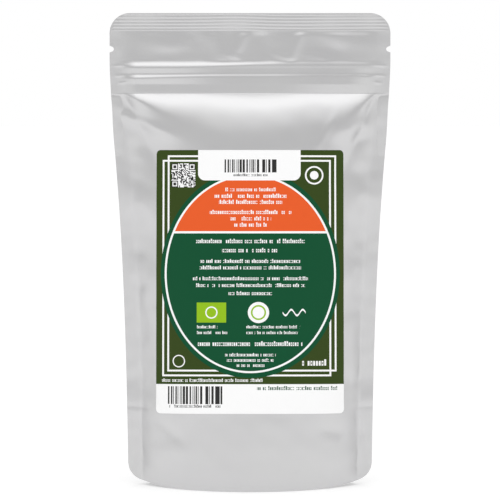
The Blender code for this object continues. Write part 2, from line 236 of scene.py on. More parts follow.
def zip_lift(t):
    """How far the zip holds each panel off the middle plane, and how little the header stands open."""
    down = sizes().film_height - t
    top_seal = sizes().top_seal
    opened = np.clip((down - top_seal) / (HEADER_OPEN_FULL - top_seal), 0, 1)
    header = HEADER_OPEN * opened**HEADER_OPEN_POWER
    over_zip = (ZIP_LIFT - HEADER_OPEN) * smooth(down, ZIP_LIFT_START, ZIP_LIFT_END)
    return (header + over_zip) * (1 - smooth(down, ZIP_BOTTOM_DOWN, ZIP_BOTTOM_DOWN + ZIP_LIFT_FADE))


def seal_offset(t):
    """Distance of a side seal from the middle plane: less above the base film's layers."""
    depth = sizes().gusset_depth
    fade = 1 - smooth(t, depth, depth + GUSSET_SEAL_FADE)
    return SEAL_OFFSET + (GUSSET_SEAL_OFFSET - SEAL_OFFSET) * fade


def height_table():
    """Heights above the floor for film heights: the sum of the film's steps, each shortened by its slope."""
    t = np.linspace(0, sizes().film_height, HEIGHT_STEPS)
    angle = arc_angle(t)
    depth = seal_offset(t) + arc_half() * (1 - np.cos(angle)) / angle + zip_lift(t)
    rise = np.sqrt(1 - np.clip(np.gradient(depth, t), -STEEPEST, STEEPEST) ** 2)
    return t, np.concatenate([[0], np.cumsum((rise[1:] + rise[:-1]) / 2 * np.diff(t))])


def height(s, t):
    """Height above the floor, with the bottom corners lifted by the square of their way out."""
    half = sizes().film_width / 2
    out = np.clip((np.abs(s) - CORNER_LIFT_FROM) / (half - CORNER_LIFT_FROM), 0, 1)
    return np.interp(t, *height_table()) + CORNER_LIFT * out**2 * (1 - smooth(t, 0, CORNER_LIFT_FADE))


def film_height_at(z):
    """The film height of a height above the floor: the height table read the other way."""
    return np.interp(z, *height_table()[::-1])


def panel_point(s, t, side, outset):
    """The point of a panel at (s, t), moved out of the pouch by outset.

    A horizontal cut is an arc of half angle a and radius (arc length) / a up to the seal, then the straight
    seal, with a rounded change between: the arc's share of the way is |s| - w log(1 + exp((|s| - edge) / w)).
    X is radius sin(turn) and the depth is radius (cos(turn) - cos(a)), plus the zip's lift and the seal's
    offset. The outset follows the arc's normal.
    """
    edge = arc_half()
    angle = arc_angle(t)
    radius = edge / angle
    past = (np.abs(s) - edge) / SEAL_ROUND
    inside = np.sign(s) * (np.abs(s) - SEAL_ROUND * np.log1p(np.exp(past)))
    turn = inside / radius
    narrow = 1 - PINCH * (1 - smooth(np.abs(t - PINCH_MIDDLE), 0, PINCH_REACH))
    plateau = 1 - smooth(np.abs(s), PLATEAU_FROM, PLATEAU_END)
    depth = seal_offset(t) + radius * (np.cos(turn) - np.cos(angle)) + zip_lift(t) * plateau
    lean = turn / (1 + np.exp(past))
    up = np.maximum(t - (sizes().film_height - HEADER_BOW_DOWN), 0) / HEADER_BOW_DOWN
    bow = HEADER_BOW * (s / (sizes().film_width / 2)) ** 2 * up**2
    x = (radius * np.sin(turn) + s - inside) * narrow + outset * np.sin(lean)
    return np.stack([x, side * (depth + outset * np.cos(lean)) + bow, height(s, t)], axis=-1)


def corner_cut(s, half_width, radius):
    """How much of an edge a rounded corner takes away at s: radius - sqrt(radius² - past²)."""
    past = np.clip(np.abs(s) - (half_width - radius), 0, radius)
    return radius - np.sqrt(radius**2 - past**2)


def graded(stretches_mm):
    """Places along a line from stretches of (start, end, step), each cut into equal cells."""
    parts = []
    for start, end, step in stretches_mm:
        cells = max(1, round((end - start) / step))
        parts.append(np.linspace(start, end, cells + 1)[:-1])
    return np.concatenate([*parts, [stretches_mm[-1][1]]]) * MM


def mirrored(right):
    """Places from -right to right, with one in the middle."""
    return np.concatenate([-right[:0:-1], right])


WAVE_COUNT = 7


def waves(s, t, length, seed, across=1.0):
    """A smooth random height from -1 to 1: a sum of sine waves in seeded directions, about length long."""
    draw = np.random.default_rng(seed)
    total = np.zeros(np.broadcast(s, t).shape)
    for _ in range(WAVE_COUNT):
        turn, phase, stretch = draw.uniform(0, math.pi), draw.uniform(0, 2 * math.pi), draw.uniform(0.7, 1.5)
        along = s * math.cos(turn) * across + t * math.sin(turn)
        total = total + np.sin(2 * math.pi * along / (length * stretch) + phase)
    return total / math.sqrt(WAVE_COUNT * 2)


# The share of a ridge's half length that stays full, and of its length that its ends take to fade.
RIDGE_FULL, RIDGE_FADE = 0.6, 0.3


def ridges(s, t, table_mm):
    """Soft ridges along segments: each a bell across its line, fading past its ends as a wider bell."""
    total = np.zeros(s.shape)
    for s0, t0, s1, t1, width, rise in table_mm:
        run = np.array([s1 - s0, t1 - t0]) * MM
        length = math.hypot(*run)
        along = ((s - s0 * MM) * run[0] + (t - t0 * MM) * run[1]) / length
        off = ((s - s0 * MM) * run[1] - (t - t0 * MM) * run[0]) / length
        past = np.maximum(np.abs(along - length / 2) - length / 2 * RIDGE_FULL, 0)
        total += rise * MM * bell(off, 0, width * MM) * bell(past, 0, max(width * MM, length * RIDGE_FADE))
    return total


# Relief over the zip, in millimetres: where each part starts down the film, its slope, its length and its
# heights. A pair of places is a stretch across the film, over which a part grows or falls.
STEP_ROUND = 0.3
SHOULDER_DOWN, SHOULDER_SLOPE, SHOULDER_HEIGHT, SHOULDER_RIGHT_SHARE = 28.1, 0.52, 1.4, 0.12
SHOULDER_FALL = (-45 * MM, 35 * MM)
RIB_DOWN, RIB_SLOPE = 35.0, 0.85
RIB_HEIGHT, RIB_HEIGHT_MIDDLE, RIB_HEIGHT_LEFT, RIB_HEIGHT_END = 0.25, 0.3, 1.3, 0.5
RIB_LEFT_FALL, RIB_MIDDLE_FALL = (-80 * MM, -5 * MM), (10 * MM, 40 * MM)
RIB_END, RIB_END_WIDTH = 68 * MM, 4 * MM
BAND_DOWN, BAND_LENGTH, BAND_SLOPE, BAND_SLOPE_ENDS = 31.5, 9, 0.07, 0.19
BAND_LEFT_FALL, BAND_RIGHT_GROWTH, BAND_RIGHT_SHARE = (-55 * MM, -8 * MM), (55 * MM, 66 * MM), 0.6
FOOT_DOWN, FOOT_LENGTH, FOOT_SLOPE, FOOT_SLOPE_RIGHT = 40.7, 5, 0.06, 0.12
FOOT_RIGHT_GROWTH = (12 * MM, 48 * MM)
CREASE_DOWN, CREASE_WIDTH, CREASE_DEPTH = 46.0, 0.4, 0.08
ZIP_FADE_DOWN, ZIP_FADE_ENDS, ZIP_FADE_MIDDLE = 46.5, 8, 56
ZIP_PROFILE_END = 60


def step_up(value, start, slope, level):
    """A straight climb of that slope from start to level with rounded ends, each w log(1 + exp(p / w))."""
    climb = slope * STEP_ROUND * np.log1p(np.exp((value - start) / STEP_ROUND))
    return level - slope * STEP_ROUND * np.log1p(np.exp((level - climb) / (slope * STEP_ROUND)))


def lens_share(s):
    """How near s is to the film's middle: 1 there, and 0 at the lens's ends, as 1 - (s / LENS_HALF)²."""
    return np.clip(1 - (s / LENS_HALF) ** 2, 0, 1)


def zip_profile(s, down):
    """Relief over the zip: a shoulder, a rib, and the slopes between and below them.

    The shoulder and the rib are highest at the left. Below the zip the relief stays and fades down the film.
    """
    mm = np.minimum(down / MM, ZIP_PROFILE_END)
    left = 1 - smooth(s, *SHOULDER_FALL)
    shoulder_height = SHOULDER_HEIGHT * (SHOULDER_RIGHT_SHARE + (1 - SHOULDER_RIGHT_SHARE) * left)
    shoulder = step_up(mm, SHOULDER_DOWN, SHOULDER_SLOPE, shoulder_height)
    rib_height = RIB_HEIGHT + RIB_HEIGHT_MIDDLE * (1 - smooth(s, *RIB_MIDDLE_FALL))
    rib_height = rib_height + RIB_HEIGHT_LEFT * (1 - smooth(s, *RIB_LEFT_FALL))
    rib_height = rib_height + RIB_HEIGHT_END * bell(s, RIB_END, RIB_END_WIDTH)
    rib = step_up(mm, RIB_DOWN, RIB_SLOPE, rib_height)
    ends = np.maximum(1 - smooth(s, *BAND_LEFT_FALL), BAND_RIGHT_SHARE * smooth(s, *BAND_RIGHT_GROWTH))
    band = np.clip(mm - BAND_DOWN, 0, BAND_LENGTH) * (BAND_SLOPE - BAND_SLOPE_ENDS * ends)
    foot_slope = FOOT_SLOPE - FOOT_SLOPE_RIGHT * smooth(s, *FOOT_RIGHT_GROWTH)
    foot = np.clip(mm - FOOT_DOWN, 0, FOOT_LENGTH) * foot_slope
    crease = -CREASE_DEPTH * bell(mm, CREASE_DOWN, CREASE_WIDTH)
    fade_length = ZIP_FADE_ENDS + ZIP_FADE_MIDDLE * lens_share(s)
    fade = 1 - smooth(down / MM, ZIP_FADE_DOWN, ZIP_FADE_DOWN + fade_length)
    return (shoulder + rib + band + foot + crease) * fade * MM


# The cushion of film below the zip: its half width, depth and softness, its slopes, and how far it fades.
LENS_HALF, LENS_DEPTH, LENS_DEPTH_RIGHT = 72.5 * MM, 24 * MM, 4 * MM
LENS_SOFT_EDGE, LENS_SOFT_MIDDLE, LENS_SOFT_RIGHT = 0.4 * MM, 7 * MM, 9 * MM
LENS_SLOPE_MIDDLE, LENS_SLOPE_EDGE = 0.08, 0.36
LENS_RIGHT_EASE, LENS_BACK_SHARE = 0.15, 0.85
LENS_EDGE_GROWTH, LENS_RIGHT_GROWTH = (28 * MM, 64 * MM), (20 * MM, 50 * MM)
LENS_FADE_EDGE, LENS_FADE_MIDDLE = 4 * MM, 74 * MM
LENS_START, LENS_START_FADE, LENS_START_END = 0.2, 2.5 * MM, 60 * MM


def lens(s, t, side):
    """The steep cushion of film below the zip, which ends along an arc that sags between the zip's ends.

    The arc lies LENS_DEPTH (1 - (s / LENS_HALF)²) below the zip, and lower at the right. The film stands out
    by a slope times the softer minimum of two distances below the zip, its own and the arc's, and that fades
    further down. A small drop right below the zip eases the start.
    """
    share = lens_share(s)
    below = np.maximum(sizes().film_height - ZIP_BOTTOM_DOWN - t, 0)
    right = smooth(s, *LENS_RIGHT_GROWTH)
    reach = LENS_DEPTH * share + LENS_DEPTH_RIGHT * right * np.minimum(3 * share, 1)
    width = LENS_SOFT_EDGE + LENS_SOFT_MIDDLE * share**2 + LENS_SOFT_RIGHT * right * share
    bulge = (below + reach - np.sqrt((below - reach) ** 2 + width**2) + np.hypot(reach, width) - reach) / 2
    edge_slope = LENS_SLOPE_EDGE * smooth(np.abs(s), *LENS_EDGE_GROWTH) * (1 - LENS_RIGHT_EASE * right)
    slope = (LENS_SLOPE_MIDDLE + edge_slope) * (LENS_BACK_SHARE if side == BACK else 1.0)
    start = LENS_START * LENS_START_FADE * (1 - np.exp(-below / LENS_START_FADE))
    fade = 1 - smooth(below, reach, reach + LENS_FADE_EDGE + LENS_FADE_MIDDLE * share)
    return slope * bulge * fade - start * (1 - smooth(below, 0, LENS_START_END))


# Marks along the side seals, and the base film's fold pressed through them.
SEAL_STEP, SEAL_STEP_OUT, SEAL_STEP_WIDTH = 0.05 * MM, 0.3 * MM, 0.7 * MM
SIDE_PUCKER, SIDE_PUCKER_LENGTH, SIDE_PUCKER_IN = 0.16 * MM, 13 * MM, 4 * MM
SIDE_PUCKER_TOP = (196 * MM, 222 * MM)
SEAL_RIPPLE, SEAL_RIPPLE_LENGTH, SEAL_RIPPLE_IN = 0.05 * MM, 9 * MM, 2 * MM
FOLD_DEPTH, FOLD_WIDTH, FOLD_BELOW, FOLD_FADE = 0.22 * MM, 0.7 * MM, 1 * MM, 12 * MM


def seal_marks(s, t, side):
    """Relief along the side seals: the step at a seal's inner edge, and faint cross puckers beside it."""
    edge = arc_half()
    step = -SEAL_STEP * bell(np.abs(s), edge + SEAL_STEP_OUT, SEAL_STEP_WIDTH)
    beside = bell(np.abs(s), edge - SIDE_PUCKER_IN, SIDE_PUCKER_IN) * (1 - smooth(t, *SIDE_PUCKER_TOP))
    pucker = SIDE_PUCKER * beside * waves(s, t, SIDE_PUCKER_LENGTH, seed=5, across=0.35)
    in_seal = smooth(np.abs(s), edge, edge + SEAL_RIPPLE_IN)
    ripple = SEAL_RIPPLE * in_seal * waves(s, t, SEAL_RIPPLE_LENGTH, seed=6, across=0.5)
    return step + pucker - side * ripple


def fold_marks(s, t):
    """The line of the base film's fold, pressed through the side seals and fading inwards."""
    edge = arc_half()
    near = smooth(np.abs(s), edge - FOLD_FADE, edge)
    return -FOLD_DEPTH * near * bell(t, sizes().gusset_depth - FOLD_BELOW, FOLD_WIDTH)


# How the top seal's ribs bend: place across, width and rise of each bend. Where they start and end down the
# film, the end counted from the seal's own, and how uneven they are.
RIB_BENDS_MM = [(-8, 12, 0.5), (20, 25, -0.35)]
RIBS_START, RIBS_END = (0.6 * MM, 1.4 * MM), (-0.6 * MM, 0.2 * MM)
RIBS_UNEVEN, RIBS_UNEVEN_LENGTH = 0.35, 30 * MM


def ribs(s, t):
    """The top seal's ribs: rounded waves across the film, which bend a little near the middle."""
    size = sizes()
    down = size.film_height - t
    bend = sum(rise * MM * bell(s, place * MM, width * MM) for place, width, rise in RIB_BENDS_MM)
    phase = 2 * math.pi * (down + bend) / size.rib_pitch
    inside = smooth(down, *RIBS_START)
    inside = inside * (1 - smooth(down, size.top_seal + RIBS_END[0], size.top_seal + RIBS_END[1]))
    uneven = 1 + RIBS_UNEVEN * waves(s, t, RIBS_UNEVEN_LENGTH, seed=61)
    return size.rib_height * uneven * np.sin(phase) * inside


# Where the relief's parts lie, as stretches over which they grow or fall: across, down from the top edge, and
# for the calm film under the label, across and up.
OVER_ZIP_FALL, HEADER_END, BODY_START = (64 * MM, 75 * MM), (26 * MM, 29 * MM), (47 * MM, 58 * MM)
HEADER_FADE, BODY_SIDE_FADE = 3 * MM, 3 * MM
LABEL_CALM, LABEL_SIDE_FALL = 0.85, (50 * MM, 60 * MM)
LABEL_FOOT_GROWTH, LABEL_TOP_FALL = (34 * MM, 48 * MM), (188 * MM, 198 * MM)
# Random waves all over the body and in the header: height and length.
DRIFT, DRIFT_LENGTH = 0.16 * MM, 48 * MM
RIPPLE, RIPPLE_LENGTH = 0.05 * MM, 17 * MM
HEADER_RIPPLE, HEADER_RIPPLE_LENGTH = 0.05 * MM, 14 * MM


def spikes_mm():
    """The spikes at both ends of the zip, as rows of ridges."""
    rows = []
    for t, reach in ZIP_SPIKES_MM:
        for end in (-1, 1):
            line = (end * SPIKE_FROM_MM, t, end * (SPIKE_FROM_MM + reach), t - SPIKE_DROP_MM)
            rows.append((*line, SPIKE_WIDTH_MM, SPIKE_RISE_MM))
    return rows


def relief(s, t, side):
    """How far the film stands out of the plain shape at (s, t).

    What is pressed through both films stands out on the labelled side and is sunk on the other.
    """
    size = sizes()
    down = size.film_height - t
    edge = arc_half()
    over_zip = 1 - smooth(np.abs(s), *OVER_ZIP_FALL)
    header = smooth(down, size.top_seal, size.top_seal + HEADER_FADE) * (1 - smooth(down, *HEADER_END))
    body = smooth(down, *BODY_START)
    calm = 1.0
    if side == FRONT:
        under_label = (1 - smooth(np.abs(s), *LABEL_SIDE_FALL)) * smooth(t, *LABEL_FOOT_GROWTH)
        calm = 1 - LABEL_CALM * under_label * (1 - smooth(t, *LABEL_TOP_FALL))
    dents = FRONT_DENTS_MM if side == FRONT else BACK_DENTS_MM
    drift = DRIFT * waves(s, t, DRIFT_LENGTH, seed=11 + side)
    drift = drift + RIPPLE * waves(s, t, RIPPLE_LENGTH, seed=21 + side)
    drift = drift * (1 - smooth(np.abs(s), edge - BODY_SIDE_FADE, edge))
    wrinkles = header * over_zip * ridges(-side * s, t, HEADER_DENTS_MM)
    wrinkles = wrinkles + body * calm * (ridges(s, t, dents) + drift)
    wrinkles = wrinkles + header * HEADER_RIPPLE * waves(s, t, HEADER_RIPPLE_LENGTH, seed=31 + side)
    total = over_zip * zip_profile(s, down) + lens(s, t, side) + size.wrinkles * wrinkles
    return total + seal_marks(s, t, side) + fold_marks(s, t) - side * ribs(s, t) + ridges(s, t, spikes_mm())


def shell(outer, inner):
    """Points and faces of a closed shell between two like grids of points, joined round their rims."""
    rows, columns = outer.shape[:2]
    index = np.arange(rows * columns).reshape(rows, columns)
    quads = np.stack([index[:-1, :-1], index[:-1, 1:], index[1:, 1:], index[1:, :-1]], axis=-1).reshape(-1, 4)
    rim = np.concatenate([index[0, :-1], index[:-1, -1], index[-1, :0:-1], index[:0:-1, 0]])
    after = np.roll(rim, -1)
    offset = rows * columns
    walls = np.stack([rim, rim + offset, after + offset, after], axis=-1)
    points = np.concatenate([outer.reshape(-1, 3), inner.reshape(-1, 3)])
    return points, np.concatenate([quads, quads[:, ::-1] + offset, walls])


SHARP_ANGLE = math.radians(60)


def new_piece(name, points, faces, material, slot, *nodes, flip=False, uv=None):
    """A smooth-shaded mesh in row coordinates, riding on the frame in place of its CAD nodes."""
    if flip:
        faces = faces[:, ::-1]
    mesh = bpy.data.meshes.new(name)
    mesh.from_pydata(points, [], faces)
    if uv is not None:
        layer = mesh.uv_layers.new(name="print")
        layer.data.foreach_set("uv", uv[faces.ravel()].astype(np.float32).ravel())
    mesh.update()
    if mesh.validate():
        raise RuntimeError(f"{name} has faces that Blender had to mend")
    mesh.shade_smooth()
    mesh.set_sharp_from_angle(angle=SHARP_ANGLE)
    piece = bpy.data.objects.new(name, mesh)
    bpy.context.scene.collection.objects.link(piece)
    piece.data.materials.append(material)
    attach(piece, "root")
    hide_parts(*nodes)
    return piece


def panel_grid():
    """Film places of a panel's grid, drawn in at the rounded corners and at the tear notches.

    Near the top and bottom the rows close up by the corner's cut. At a notch the edge's columns move in by
    sqrt(1 - level²) of its depth, where level is the height from its middle over its radius.
    """
    size = sizes()
    half = size.film_width / 2
    rows, across = np.meshgrid(graded(PANEL_ROWS_MM), mirrored(graded(PANEL_COLUMNS_MM)), indexing="ij")
    near_bottom = np.clip(1 - rows / CORNER_BAND, 0, 1)
    near_top = np.clip(1 - (size.film_height - rows) / CORNER_BAND, 0, 1)
    t = rows + corner_cut(across, half, size.foot_radius) * near_bottom
    t = t - corner_cut(across, half, size.corner_radius) * near_top
    notch = NOTCH_DEPTH * rounded(np.abs(t - (size.film_height - NOTCH_DOWN)) / NOTCH_RADIUS)
    s = across - np.sign(across) * notch * smooth(np.abs(across), half - NOTCH_BAND, half)
    return s, t


def build_panel(name, side, material):
    """One of the two big films: the plain shape moved out by its relief, and the same a film further in."""
    s, t = panel_grid()
    out = relief(s, t, side)
    film = sizes().film
    outer = panel_point(s, t, side, out + film / 2)
    inner = panel_point(s, t, side, out - film / 2)
    points, faces = shell(outer, inner)
    return new_piece(name, points, faces, material, "foil_laminate", name, flip=side == BACK)


# The base film: its flat middle, where its fold rises along the width, and how far a straight fold reaches.
BASE_FLAT_HALF, BASE_RISE_END, BASE_FLAT_SHARE, BASE_CLEAR = 26 * MM, 69 * MM, 0.5, 0.05 * MM
BASE_FOLD_FROM, BASE_FOLD_FULL = 16 * MM, 52 * MM
SKIRT_MIDDLE, LEAF_LEAST, FILM_GAP = 6 * MM, 1 * MM, 0.45 * MM
LEAF_ROWS, WEB_ROWS = 16, 97
# Its puckers: height and length, and where they grow up the web and end towards the sides and the seams.
WEB_PUCKER, WEB_PUCKER_LENGTH = 0.5 * MM, 16 * MM
WEB_RIPPLE, WEB_RIPPLE_LENGTH = 0.2 * MM, 7 * MM
PUCKER_RISE, PUCKER_SIDES, PUCKER_SEAM_POWER = (1.5 * MM, 8 * MM), (60 * MM, 68 * MM), 6


def skirt_height(s):
    """Film height of the base film's seam with a panel: a half ellipse up to the gusset's depth."""
    across = np.clip(np.abs(s) / arc_half(), 0, 1)
    depth = sizes().gusset_depth
    return depth - (depth - SKIRT_MIDDLE) * np.sqrt(1 - across**2)


def web_height(s, across, edge):
    """Height of the web: on the floor in the middle, and up to a plain fold near the sides."""
    floor = sizes().film / 2 + BASE_CLEAR
    fold = floor + (sizes().gusset_depth - floor) * smooth(np.abs(s), BASE_FLAT_HALF, BASE_RISE_END)
    trough = smooth(np.abs(across), BASE_FLAT_SHARE, 1)
    share = trough + (np.abs(across) - trough) * smooth(np.abs(s), BASE_FOLD_FROM, BASE_FOLD_FULL)
    return fold + (edge - fold) * share


LEAST_LENGTH = 1e-12


def grid_normals(grid):
    """Unit normals of a grid: the cross product of its slopes along the columns and along the rows."""
    cross = np.cross(np.gradient(grid, axis=1), np.gradient(grid, axis=0))
    return cross / np.maximum(np.linalg.norm(cross, axis=-1, keepdims=True), LEAST_LENGTH)


def build_base(material):
    """The opened base film: a leaf inside each panel below the skirt's curve, and the web between the curves.

    Each column runs up the labelled side's leaf, over the web and down the other leaf. Soft puckers run from
    the flat middle to the seals, where the web takes up the film's spare length.
    """
    size = sizes()
    s = mirrored(graded(BASE_COLUMNS_MM))
    low = corner_cut(s, size.film_width / 2, size.foot_radius)
    seam = np.maximum(skirt_height(s), low + LEAF_LEAST)
    leaves = {}
    for side in (FRONT, BACK):
        t = low + np.linspace(0, 1, LEAF_ROWS)[:, None] * (seam - low)
        across = np.broadcast_to(s, t.shape)
        leaves[side] = panel_point(across, t, side, np.full(t.shape, -FILM_GAP))
    place = np.linspace(-1, 1, WEB_ROWS)[1:-1, None]
    front, back = leaves[FRONT][-1], leaves[BACK][-1]
    web = front + (back - front) * ((place + 1) / 2)[..., None]
    rise = web_height(s[None], place, front[None, :, 2])
    free = smooth(rise, *PUCKER_RISE) * (1 - np.abs(place) ** PUCKER_SEAM_POWER)
    free = free * (1 - smooth(np.abs(s[None]), *PUCKER_SIDES))
    pucker = WEB_PUCKER * waves(s[None], web[..., 1], WEB_PUCKER_LENGTH, seed=41, across=0.6)
    pucker = pucker + WEB_RIPPLE * waves(s[None], web[..., 1], WEB_RIPPLE_LENGTH, seed=43)
    web[..., 2] = np.maximum(rise + free * pucker, size.film / 2)
    middle = np.concatenate([leaves[FRONT], web, leaves[BACK][::-1]])
    half_film = grid_normals(middle) * size.film / 2
    points, faces = shell(middle + half_film, middle - half_film)
    return new_piece("base_gusset", points, faces, material, "foil_laminate", "base_gusset")


# The label: its sheet and the glue under it, the size of its cells, and its half width seen from the front.
LABEL_SHEET, LABEL_GLUE = 0.12 * MM, 0.03 * MM
LABEL_CELL_ACROSS_MM, LABEL_CELL_UP_MM, LABEL_EDGE_CELL_MM, LABEL_EDGE_BAND_MM = 1.3, 1.0, 0.3, 4
LABEL_SEEN_HALF, LABEL_SEEN_FLARE = 52.95 * MM, 0.5 * MM
# How much its top and bottom ends dip, as shares of the arc's depth.
LABEL_SAG_TOP, LABEL_SAG_BOTTOM = 0.03, 0.115
LABEL_ROUNDS = 3


def build_label(material):
    """The label: a rounded sheet that follows the film's relief, with a map of its flat place in millimetres.

    Its sides are cut to stand upright from the front, at a half width w: around the film they are at
    radius · arcsin(w / radius), where the relief adds to the radius. Its ends dip by a small share of the
    film's depth, so they look straight as well.
    """
    size = sizes()
    half, rise, edge_band = size.label_width / MM / 2, size.label_height / MM, LABEL_EDGE_BAND_MM
    columns = mirrored(graded([
        (0, half - edge_band, LABEL_CELL_ACROSS_MM), (half - edge_band, half, LABEL_EDGE_CELL_MM),
    ]))
    rows = graded([
        (0, edge_band, LABEL_EDGE_CELL_MM), (edge_band, rise - edge_band, LABEL_CELL_UP_MM),
        (rise - edge_band, rise, LABEL_EDGE_CELL_MM),
    ])
    half, edge_band = half * MM, edge_band * MM
    up, across = np.meshgrid(rows, columns, indexing="ij")
    near_bottom = np.clip(1 - up / edge_band, 0, 1)
    near_top = np.clip(1 - (size.label_height - up) / edge_band, 0, 1)
    up = up + corner_cut(across, half, size.label_corner) * (near_bottom - near_top)
    t = film_height_at(LABEL_LOW.z) + up
    turn_radius = arc_half() / arc_angle(t)
    low_share = 1 - up / size.label_height
    seen_half = (LABEL_SEEN_HALF + LABEL_SEEN_FLARE * low_share) * across / half
    around = turn_radius * np.arcsin(seen_half / turn_radius)
    for _ in range(LABEL_ROUNDS):
        around = turn_radius * np.arcsin(seen_half / (turn_radius + relief(around, t, FRONT)))
    sag = LABEL_SAG_TOP + (LABEL_SAG_BOTTOM - LABEL_SAG_TOP) * low_share
    t = t - sag * turn_radius * (1 - np.cos(around / turn_radius))
    out = relief(around, t, FRONT) + size.film / 2 + LABEL_GLUE
    outer = panel_point(around, t, FRONT, out + LABEL_SHEET)
    inner = panel_point(around, t, FRONT, out)
    points, faces = shell(outer, inner)
    flat = np.stack([across + half, size.label_height - up], axis=-1).reshape(-1, 2)
    scaled = flat / np.array([size.label_width, size.label_height]) * np.array([PRINT_WIDTH, PRINT_HEIGHT])
    uv = np.concatenate([scaled, scaled])
    return new_piece("label", points, faces, material, "printed_label", "label", uv=uv)


# The fill: its rings and their points, and how far it keeps off the films, its foot and its top.
FILL_RINGS, FILL_AROUND = 150, 220
FILL_SIDE_GAP, FILL_FILM_GAP, FILL_LEAST_DEPTH = 1.5 * MM, 3.5 * MM, 0.8 * MM
FILL_FOOT, FILL_FOOT_RISE, FILL_FOOT_GROWTH = 3 * MM, 44 * MM, (20 * MM, 62 * MM)
FILL_TOP_GAP, FILL_HEAP = 4 * MM, 8 * MM
# The shares of its height over which it closes, and the power that rounds its sides.
FILL_FOOT_SHARE, FILL_TOP_SHARE, FILL_SIDE_POWER = 0.07, 0.1, 0.7
FILL_ROUGH, FILL_ROUGH_LENGTH = 0.5 * MM, 3 * MM
FILL_GRAIN, FILL_GRAIN_LENGTH = 0.3 * MM, 1.6 * MM


def build_fill(material):
    """The fill: a closed body of rings from its foot to its heaped top, each a lens inside the panels.

    A ring's point at angle a has X half width · cos(a) and, for the depth there, depth · sin(a) to a power.
    Its surface is roughened by short waves, as a mass of small cuttings is.
    """
    low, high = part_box("chive_fill")
    v = np.linspace(0, 1, FILL_RINGS + 2)[1:-1, None]
    a = np.linspace(0, 2 * math.pi, FILL_AROUND, endpoint=False)[None]
    width = min(high.x, -low.x) - FILL_SIDE_GAP
    shrink = rounded((FILL_FOOT_SHARE - v) / FILL_FOOT_SHARE)
    shrink = shrink * rounded((v - (1 - FILL_TOP_SHARE)) / FILL_TOP_SHARE)
    x = width * shrink * np.cos(a)
    base = FILL_FOOT + FILL_FOOT_RISE * smooth(np.abs(x), *FILL_FOOT_GROWTH)
    z = base + (high.z - FILL_TOP_GAP - FILL_HEAP * (x / width) ** 2 - base) * v
    angle = arc_angle(film_height_at(z))
    radius = arc_half() / angle
    depth = radius * (np.sqrt(1 - np.clip(x / radius, -1, 1) ** 2) - np.cos(angle)) - FILL_FILM_GAP
    swing = np.sign(np.sin(a)) * np.abs(np.sin(a)) ** FILL_SIDE_POWER
    y = np.maximum(depth, FILL_LEAST_DEPTH) * swing * shrink
    rough = FILL_ROUGH * waves(x + y, z, FILL_ROUGH_LENGTH, seed=51)
    rough = rough + FILL_GRAIN * waves(x - y, z, FILL_GRAIN_LENGTH, seed=52)
    grid = np.stack([x * (1 - rough / width), y + rough * np.sin(a) * shrink, z + rough * shrink], axis=-1)
    foot, top = FILL_RINGS * FILL_AROUND, FILL_RINGS * FILL_AROUND + 1
    index = np.arange(foot).reshape(FILL_RINGS, FILL_AROUND)
    turned = np.roll(index, -1, axis=1)
    quads = np.stack([index[:-1], turned[:-1], turned[1:], index[1:]], axis=-1).reshape(-1, 4)
    foot_cap = np.stack([turned[0], index[0], np.full(FILL_AROUND, foot)], axis=-1)
    top_cap = np.stack([index[-1], turned[-1], np.full(FILL_AROUND, top)], axis=-1)
    faces = [*quads.tolist(), *foot_cap.tolist(), *top_cap.tolist()]
    points = np.concatenate([grid.reshape(-1, 3), [grid[0].mean(axis=0), grid[-1].mean(axis=0)]])
    return new_piece("chive_fill", points, faces, material, "dried_chives", "chive_fill")


# Materials


class Value:
    """A socket's value. Python's operators on it add Math nodes."""

    def __init__(self, board, socket):
        self.board = board
        self.socket = socket

    def math(self, operation, *rest):
        """A Math node on this value and the rest."""
        return self.board.add("ShaderNodeMath", {"operation": operation}, dict(enumerate((self, *rest))))

    def __add__(self, other):
        return self.math("ADD", other)

    __radd__ = __add__

    def __sub__(self, other):
        return self.math("SUBTRACT", other)

    def __rsub__(self, other):
        return self.board.add("ShaderNodeMath", {"operation": "SUBTRACT"}, {0: other, 1: self})

    def __mul__(self, other):
        return self.math("MULTIPLY", other)

    __rmul__ = __mul__

    def __truediv__(self, other):
        return self.math("DIVIDE", other)

    def __lt__(self, other):
        return self.math("LESS_THAN", other)

    def __gt__(self, other):
        return self.math("GREATER_THAN", other)

    def __abs__(self):
        return self.math("ABSOLUTE")

    def within(self, middle, reach):
        """1 where the value is at most reach from middle."""
        return self.math("COMPARE", middle, reach)


